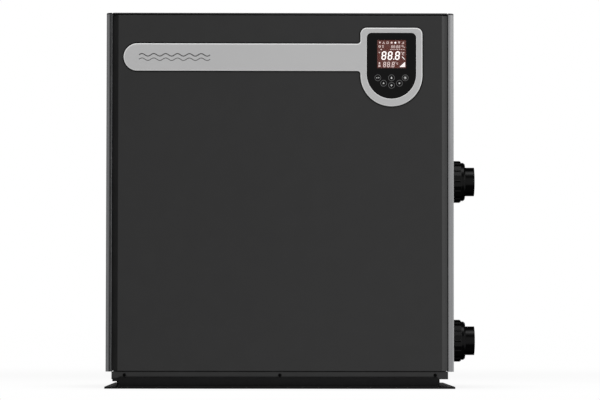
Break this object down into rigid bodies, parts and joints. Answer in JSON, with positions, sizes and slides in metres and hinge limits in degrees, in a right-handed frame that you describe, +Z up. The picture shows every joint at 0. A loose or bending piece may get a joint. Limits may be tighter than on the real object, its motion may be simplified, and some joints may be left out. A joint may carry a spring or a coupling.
{
  "type": "pool heat pump unit",
  "caption": "Upright rear-discharge pool heat pump with side water unions, a touch controller in the front panel, a side air intake and a rear fan.",
  "frame": {"origin": "floor level, at the centre of the four foot bolt holes", "axes": "+X towards the water unions (the user's right), -Y towards the user, +Z up"},
  "size_m": [0.7493, 0.429, 0.755],
  "materials": {
    "charcoal_paint": "fine matt powder coat, charcoal",
    "black_steel": "semi-matt black powder coat",
    "black_plastic": "black moulded plastic",
    "post_aluminium": "satin anodised, dark silver",
    "dark_plastic": "dark moulded plastic",
    "black_wire": "black coated guard",
    "galvanised_steel": "galvanised sheet",
    "fin_aluminium": "blue coated fins",
    "copper": "drawn copper tube",
    "motor_paint": "black motor enamel",
    "bright_steel": "bright steel",
    "compressor_paint": "black enamel",
    "rubber": "black rubber",
    "valve_brass": "dull brass",
    "shell_plastic": "dark grey moulded plastic",
    "titanium": "titanium tube",
    "union_plastic": "black ABS",
    "circuit_green": "lacquered circuit board",
    "heat_sink_aluminium": "extruded aluminium",
    "terminal_cream": "cream plastic",
    "clear_lens": "clear polycarbonate",
    "black_screw": "black zinc",
    "light_trim": "light silver grey satin moulding",
    "black_glass": "back printed black touch glass",
    "display_red": "dark red backlit display",
    "fan_plastic": "glass filled black plastic",
    "needle_red": "red enamel"
  },
  "bodies": {
    "cabinet": {"base_pan": "charcoal_paint", "foot_rails": "black_steel", "cross_sills": "black_steel", "post_caps": "black_plastic", "corner_post_front_left": "post_aluminium", "corner_post_front_right": "post_aluminium", "rear_corner_posts": "post_aluminium", "left_side_panel": "charcoal_paint", "intake_louvres": "dark_plastic", "right_side_panel": "charcoal_paint", "rear_panel": "charcoal_paint", "fan_guard": "black_wire", "carry_handles": "black_plastic", "partition_wall": "galvanised_steel", "evaporator_fins": "fin_aluminium", "evaporator_end_plates": "galvanised_steel", "evaporator_tubes": "copper", "motor_bracket": "galvanised_steel", "motor_housing": "motor_paint", "motor_bearings": "bright_steel", "compressor": "compressor_paint", "compressor_grommets": "rubber", "suction_accumulator": "compressor_paint", "reversing_valve": "valve_brass", "expansion_valve": "valve_brass", "refrigerant_pipes": "copper", "exchanger_shell": "shell_plastic", "titanium_coil": "titanium", "union_bodies": "union_plastic", "union_seals": "rubber", "flow_switch": "shell_plastic", "electrical_box": "galvanised_steel", "inverter_board": "circuit_green", "heat_sink": "heat_sink_aluminium", "terminal_block": "terminal_cream", "cable_gland_body": "black_plastic", "gauge_case": "black_plastic", "gauge_lens": "clear_lens", "casing_screws": "black_screw"},
    "front": {"front_panel": "charcoal_paint", "trim_band": "light_trim", "touch_glass": "black_glass", "display_module": "display_red", "controller_board": "circuit_green", "controller_housing": "black_plastic"},
    "lid": {"top_lid": "charcoal_paint", "lid_screws": "black_screw"},
    "service": {"service_cover": "charcoal_paint", "service_cover_screws": "black_screw"},
    "fan": {"fan_impeller": "fan_plastic", "motor_shaft": "bright_steel", "fan_nut": "bright_steel"},
    "paddle": {"flow_paddle": "bright_steel"},
    "upper_tail": {"upper_union_tail": "union_plastic"},
    "upper_nut": {"upper_union_nut": "union_plastic"},
    "lower_tail": {"lower_union_tail": "union_plastic"},
    "lower_nut": {"lower_union_nut": "union_plastic"},
    "gland": {"gland_nut": "black_plastic"},
    "needle": {"gauge_needle": "needle_red"},
    "drain": {"drain_elbow": "black_plastic"}
  },
  "joints": [
    {"name": "fan_spin", "type": "hinge", "parent": "cabinet", "child": "fan", "pos_m": [-0.086, 0.15, 0.395], "axis": [0, 1, 0], "continuous": true},
    {"name": "front_panel_off", "type": "slide", "parent": "cabinet", "child": "front", "axis": [0, -1, 0], "range_m": [0, 0.15]},
    {"name": "lid_lift", "type": "slide", "parent": "cabinet", "child": "lid", "axis": [0, 0, 1], "range_m": [0, 0.12]},
    {"name": "service_cover_off", "type": "slide", "parent": "cabinet", "child": "service", "axis": [1, 0, 0], "range_m": [0, 0.1]},
    {"name": "flow_paddle_swing", "type": "hinge", "parent": "cabinet", "child": "paddle", "pos_m": [0.3, -0.038, 0.446], "axis": [0, -1, 0], "range_deg": [0, 25], "stiffness_Nm_per_rad": 0.002},
    {"name": "upper_tail_slide", "type": "slide", "parent": "cabinet", "child": "upper_tail", "axis": [1, 0, 0], "range_m": [0, 0.06]},
    {"name": "upper_nut_spin", "type": "hinge", "parent": "upper_tail", "child": "upper_nut", "pos_m": [0.365, -0.038, 0.4215], "axis": [1, 0, 0], "continuous": true},
    {"name": "lower_tail_slide", "type": "slide", "parent": "cabinet", "child": "lower_tail", "axis": [1, 0, 0], "range_m": [0, 0.06]},
    {"name": "lower_nut_spin", "type": "hinge", "parent": "lower_tail", "child": "lower_nut", "pos_m": [0.365, -0.038, 0.095], "axis": [1, 0, 0], "continuous": true},
    {"name": "gland_nut_spin", "type": "hinge", "parent": "cabinet", "child": "gland", "pos_m": [0.27, 0.2, 0.615], "axis": [0, 1, 0], "continuous": true},
    {"name": "gauge_needle_swing", "type": "hinge", "parent": "cabinet", "child": "needle", "pos_m": [0.344, 0.12, 0.47], "axis": [-1, 0, 0], "range_deg": [0, 270]},
    {"name": "drain_swivel", "type": "hinge", "parent": "cabinet", "child": "drain", "pos_m": [-0.2, 0.06, 0.012], "axis": [0, 0, 1], "continuous": true}
  ]
}
